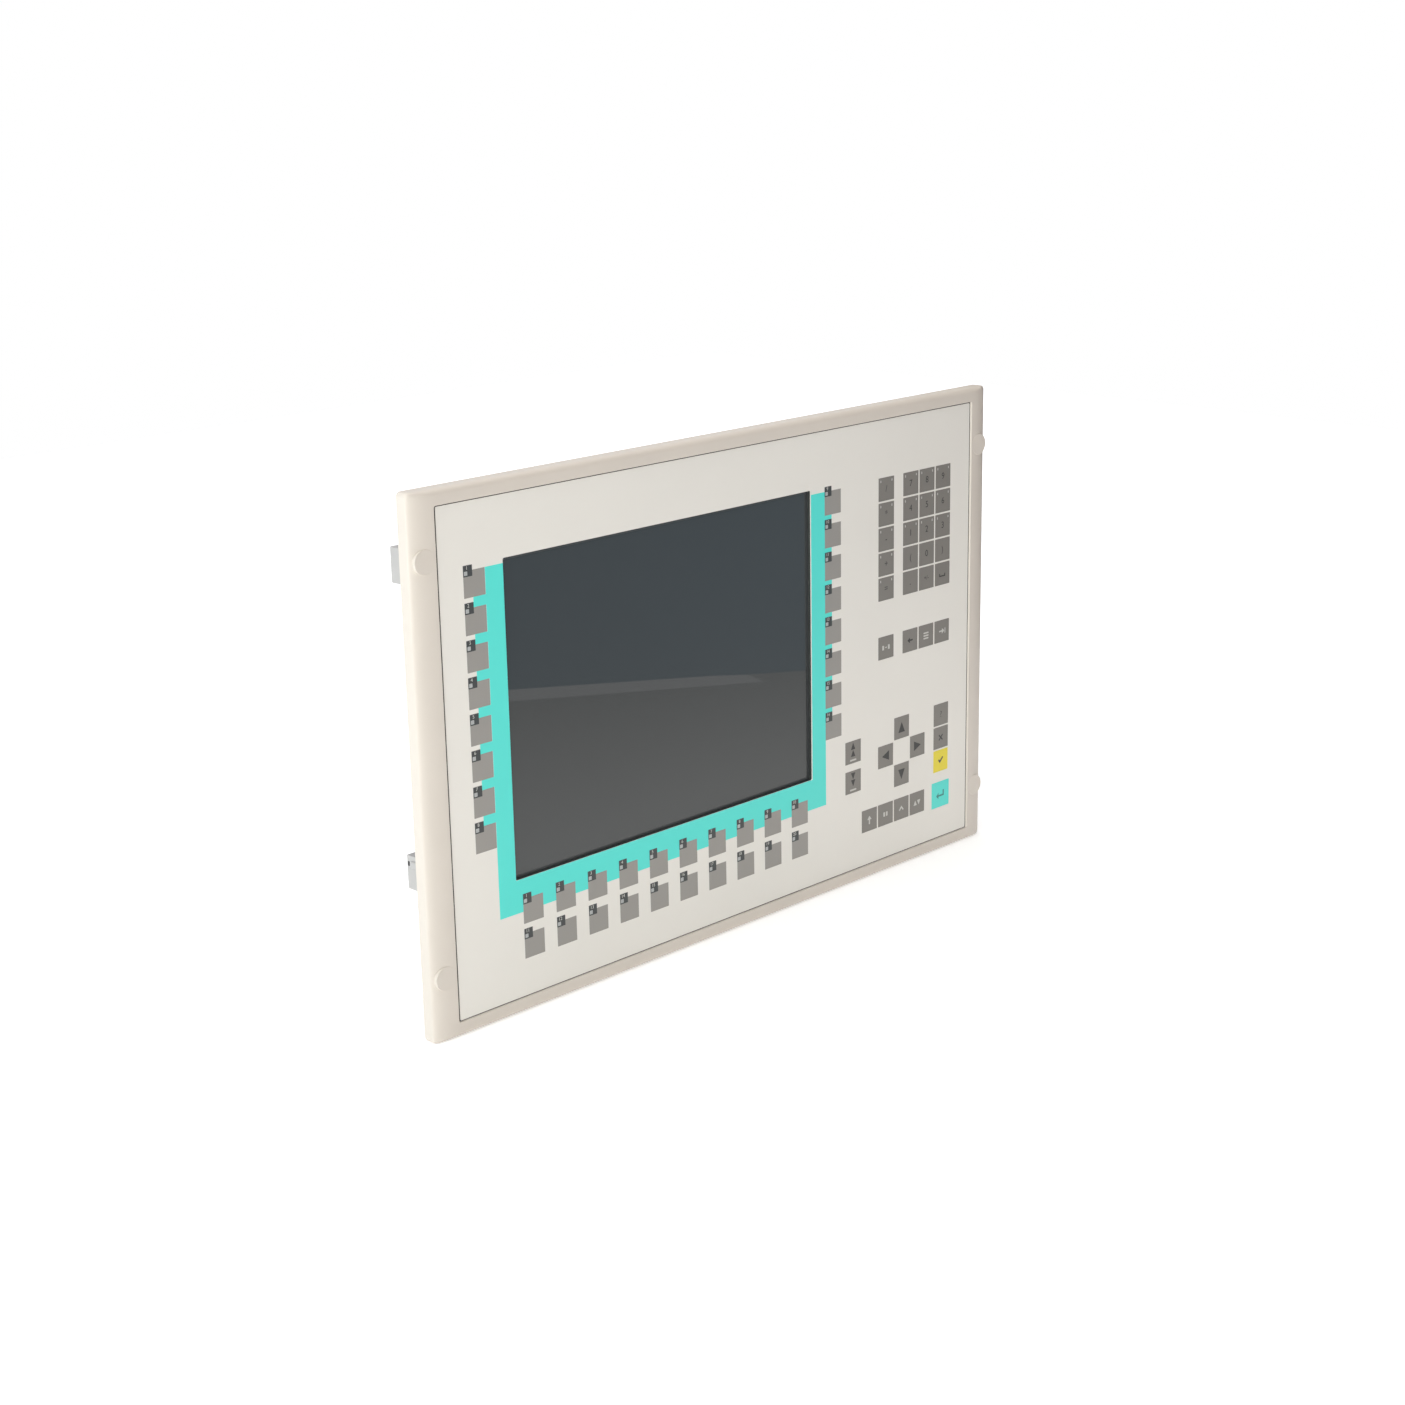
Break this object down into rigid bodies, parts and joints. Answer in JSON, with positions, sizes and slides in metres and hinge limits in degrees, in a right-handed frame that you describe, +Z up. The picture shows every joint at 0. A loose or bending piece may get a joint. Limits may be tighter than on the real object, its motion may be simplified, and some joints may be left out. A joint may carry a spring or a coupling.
{
  "type": "hmi touch panel",
  "caption": "Flush-mount operator panel: colour display behind a flat film front, soft keys round the display, numeric and cursor keypad at the right, housing and clamps behind.",
  "frame": {"origin": "centre of the mounting plane, the rear face of the front frame's flange that seats on the cabinet sheet", "axes": "+X to the operator's right, +Y rearwards into the cabinet, +Z up"},
  "size_m": [0.4826, 0.0713, 0.3102],
  "materials": {
    "frame_plastic": "fine satin, warm beige",
    "front_film": "fine-textured satin polyester film, off-white",
    "display_glass": "polished, smoke tinted",
    "lcd_body": "satin",
    "key_grey": "satin",
    "key_yellow": "satin",
    "key_turquoise": "satin",
    "circuit_board": "solder mask, semi-gloss",
    "zinc_sheet": "zinc-plated sheet, dull",
    "rubber": "matt closed-cell foam rubber",
    "clamp_metal": "light grey die casting, satin",
    "screw_steel": "bright zinc",
    "terminal_green": "moulded, satin",
    "port_shell": "tinned steel",
    "port_black": "moulded, satin"
  },
  "bodies": {
    "panel": {"front_frame": "frame_plastic", "front_film": "front_film", "display_pane": "display_glass", "lcd_module": "lcd_body", "keypad_board": "circuit_board", "mounting_gasket": "rubber", "support_tray": "zinc_sheet", "backlight_inverter": "circuit_board", "main_board": "circuit_board", "rear_housing": "zinc_sheet", "rear_cover": "zinc_sheet", "power_terminal": "terminal_green", "serial_port": "port_shell", "network_port": "port_black", "clamp_left_upper": "clamp_metal", "clamp_left_lower": "clamp_metal", "clamp_right_upper": "clamp_metal", "clamp_right_lower": "clamp_metal"},
    "key_divide": {"key_divide": "key_grey"},
    "key_times": {"key_times": "key_grey"},
    "key_minus": {"key_minus": "key_grey"},
    "key_plus": {"key_plus": "key_grey"},
    "key_equals": {"key_equals": "key_grey"},
    "key_7": {"key_7": "key_grey"},
    "key_8": {"key_8": "key_grey"},
    "key_9": {"key_9": "key_grey"},
    "key_4": {"key_4": "key_grey"},
    "key_5": {"key_5": "key_grey"},
    "key_6": {"key_6": "key_grey"},
    "key_1": {"key_1": "key_grey"},
    "key_2": {"key_2": "key_grey"},
    "key_3": {"key_3": "key_grey"},
    "key_open_bracket": {"key_open_bracket": "key_grey"},
    "key_0": {"key_0": "key_grey"},
    "key_close_bracket": {"key_close_bracket": "key_grey"},
    "key_point": {"key_point": "key_grey"},
    "key_sign": {"key_sign": "key_grey"},
    "key_space": {"key_space": "key_grey"},
    "key_letters": {"key_letters": "key_grey"},
    "key_backspace": {"key_backspace": "key_grey"},
    "key_insert_delete": {"key_insert_delete": "key_grey"},
    "key_tab": {"key_tab": "key_grey"},
    "key_page_up": {"key_page_up": "key_grey"},
    "key_page_down": {"key_page_down": "key_grey"},
    "key_up": {"key_up": "key_grey"},
    "key_down": {"key_down": "key_grey"},
    "key_left": {"key_left": "key_grey"},
    "key_right": {"key_right": "key_grey"},
    "key_help": {"key_help": "key_grey"},
    "key_escape": {"key_escape": "key_grey"},
    "key_acknowledge": {"key_acknowledge": "key_yellow"},
    "key_enter": {"key_enter": "key_turquoise"},
    "key_shift": {"key_shift": "key_grey"},
    "key_function": {"key_function": "key_grey"},
    "key_control": {"key_control": "key_grey"},
    "key_alternate": {"key_alternate": "key_grey"},
    "clamp_screw_left_upper": {"clamp_screw_left_upper": "screw_steel"},
    "clamp_screw_left_lower": {"clamp_screw_left_lower": "screw_steel"},
    "clamp_screw_right_upper": {"clamp_screw_right_upper": "screw_steel"},
    "clamp_screw_right_lower": {"clamp_screw_right_lower": "screw_steel"}
  },
  "joints": [
    {"name": "press_divide", "type": "slide", "parent": "panel", "child": "key_divide", "axis": [0, 1, 0], "range_m": [0, 0.0005], "stiffness_N_per_m": 6000},
    {"name": "press_times", "type": "slide", "parent": "panel", "child": "key_times", "axis": [0, 1, 0], "range_m": [0, 0.0005], "stiffness_N_per_m": 6000},
    {"name": "press_minus", "type": "slide", "parent": "panel", "child": "key_minus", "axis": [0, 1, 0], "range_m": [0, 0.0005], "stiffness_N_per_m": 6000},
    {"name": "press_plus", "type": "slide", "parent": "panel", "child": "key_plus", "axis": [0, 1, 0], "range_m": [0, 0.0005], "stiffness_N_per_m": 6000},
    {"name": "press_equals", "type": "slide", "parent": "panel", "child": "key_equals", "axis": [0, 1, 0], "range_m": [0, 0.0005], "stiffness_N_per_m": 6000},
    {"name": "press_7", "type": "slide", "parent": "panel", "child": "key_7", "axis": [0, 1, 0], "range_m": [0, 0.0005], "stiffness_N_per_m": 6000},
    {"name": "press_8", "type": "slide", "parent": "panel", "child": "key_8", "axis": [0, 1, 0], "range_m": [0, 0.0005], "stiffness_N_per_m": 6000},
    {"name": "press_9", "type": "slide", "parent": "panel", "child": "key_9", "axis": [0, 1, 0], "range_m": [0, 0.0005], "stiffness_N_per_m": 6000},
    {"name": "press_4", "type": "slide", "parent": "panel", "child": "key_4", "axis": [0, 1, 0], "range_m": [0, 0.0005], "stiffness_N_per_m": 6000},
    {"name": "press_5", "type": "slide", "parent": "panel", "child": "key_5", "axis": [0, 1, 0], "range_m": [0, 0.0005], "stiffness_N_per_m": 6000},
    {"name": "press_6", "type": "slide", "parent": "panel", "child": "key_6", "axis": [0, 1, 0], "range_m": [0, 0.0005], "stiffness_N_per_m": 6000},
    {"name": "press_1", "type": "slide", "parent": "panel", "child": "key_1", "axis": [0, 1, 0], "range_m": [0, 0.0005], "stiffness_N_per_m": 6000},
    {"name": "press_2", "type": "slide", "parent": "panel", "child": "key_2", "axis": [0, 1, 0], "range_m": [0, 0.0005], "stiffness_N_per_m": 6000},
    {"name": "press_3", "type": "slide", "parent": "panel", "child": "key_3", "axis": [0, 1, 0], "range_m": [0, 0.0005], "stiffness_N_per_m": 6000},
    {"name": "press_open_bracket", "type": "slide", "parent": "panel", "child": "key_open_bracket", "axis": [0, 1, 0], "range_m": [0, 0.0005], "stiffness_N_per_m": 6000},
    {"name": "press_0", "type": "slide", "parent": "panel", "child": "key_0", "axis": [0, 1, 0], "range_m": [0, 0.0005], "stiffness_N_per_m": 6000},
    {"name": "press_close_bracket", "type": "slide", "parent": "panel", "child": "key_close_bracket", "axis": [0, 1, 0], "range_m": [0, 0.0005], "stiffness_N_per_m": 6000},
    {"name": "press_point", "type": "slide", "parent": "panel", "child": "key_point", "axis": [0, 1, 0], "range_m": [0, 0.0005], "stiffness_N_per_m": 6000},
    {"name": "press_sign", "type": "slide", "parent": "panel", "child": "key_sign", "axis": [0, 1, 0], "range_m": [0, 0.0005], "stiffness_N_per_m": 6000},
    {"name": "press_space", "type": "slide", "parent": "panel", "child": "key_space", "axis": [0, 1, 0], "range_m": [0, 0.0005], "stiffness_N_per_m": 6000},
    {"name": "press_letters", "type": "slide", "parent": "panel", "child": "key_letters", "axis": [0, 1, 0], "range_m": [0, 0.0005], "stiffness_N_per_m": 6000},
    {"name": "press_backspace", "type": "slide", "parent": "panel", "child": "key_backspace", "axis": [0, 1, 0], "range_m": [0, 0.0005], "stiffness_N_per_m": 6000},
    {"name": "press_insert_delete", "type": "slide", "parent": "panel", "child": "key_insert_delete", "axis": [0, 1, 0], "range_m": [0, 0.0005], "stiffness_N_per_m": 6000},
    {"name": "press_tab", "type": "slide", "parent": "panel", "child": "key_tab", "axis": [0, 1, 0], "range_m": [0, 0.0005], "stiffness_N_per_m": 6000},
    {"name": "press_page_up", "type": "slide", "parent": "panel", "child": "key_page_up", "axis": [0, 1, 0], "range_m": [0, 0.0005], "stiffness_N_per_m": 6000},
    {"name": "press_page_down", "type": "slide", "parent": "panel", "child": "key_page_down", "axis": [0, 1, 0], "range_m": [0, 0.0005], "stiffness_N_per_m": 6000},
    {"name": "press_up", "type": "slide", "parent": "panel", "child": "key_up", "axis": [0, 1, 0], "range_m": [0, 0.0005], "stiffness_N_per_m": 6000},
    {"name": "press_down", "type": "slide", "parent": "panel", "child": "key_down", "axis": [0, 1, 0], "range_m": [0, 0.0005], "stiffness_N_per_m": 6000},
    {"name": "press_left", "type": "slide", "parent": "panel", "child": "key_left", "axis": [0, 1, 0], "range_m": [0, 0.0005], "stiffness_N_per_m": 6000},
    {"name": "press_right", "type": "slide", "parent": "panel", "child": "key_right", "axis": [0, 1, 0], "range_m": [0, 0.0005], "stiffness_N_per_m": 6000},
    {"name": "press_help", "type": "slide", "parent": "panel", "child": "key_help", "axis": [0, 1, 0], "range_m": [0, 0.0005], "stiffness_N_per_m": 6000},
    {"name": "press_escape", "type": "slide", "parent": "panel", "child": "key_escape", "axis": [0, 1, 0], "range_m": [0, 0.0005], "stiffness_N_per_m": 6000},
    {"name": "press_acknowledge", "type": "slide", "parent": "panel", "child": "key_acknowledge", "axis": [0, 1, 0], "range_m": [0, 0.0005], "stiffness_N_per_m": 6000},
    {"name": "press_enter", "type": "slide", "parent": "panel", "child": "key_enter", "axis": [0, 1, 0], "range_m": [0, 0.0005], "stiffness_N_per_m": 6000},
    {"name": "press_shift", "type": "slide", "parent": "panel", "child": "key_shift", "axis": [0, 1, 0], "range_m": [0, 0.0005], "stiffness_N_per_m": 6000},
    {"name": "press_function", "type": "slide", "parent": "panel", "child": "key_function", "axis": [0, 1, 0], "range_m": [0, 0.0005], "stiffness_N_per_m": 6000},
    {"name": "press_control", "type": "slide", "parent": "panel", "child": "key_control", "axis": [0, 1, 0], "range_m": [0, 0.0005], "stiffness_N_per_m": 6000},
    {"name": "press_alternate", "type": "slide", "parent": "panel", "child": "key_alternate", "axis": [0, 1, 0], "range_m": [0, 0.0005], "stiffness_N_per_m": 6000},
    {"name": "drive_screw_left_upper", "type": "slide", "parent": "panel", "child": "clamp_screw_left_upper", "axis": [0, 1, 0], "range_m": [-0.001, 0.0035]},
    {"name": "drive_screw_left_lower", "type": "slide", "parent": "panel", "child": "clamp_screw_left_lower", "axis": [0, 1, 0], "range_m": [-0.001, 0.0035]},
    {"name": "drive_screw_right_upper", "type": "slide", "parent": "panel", "child": "clamp_screw_right_upper", "axis": [0, 1, 0], "range_m": [-0.001, 0.0035]},
    {"name": "drive_screw_right_lower", "type": "slide", "parent": "panel", "child": "clamp_screw_right_lower", "axis": [0, 1, 0], "range_m": [-0.001, 0.0035]}
  ]
}
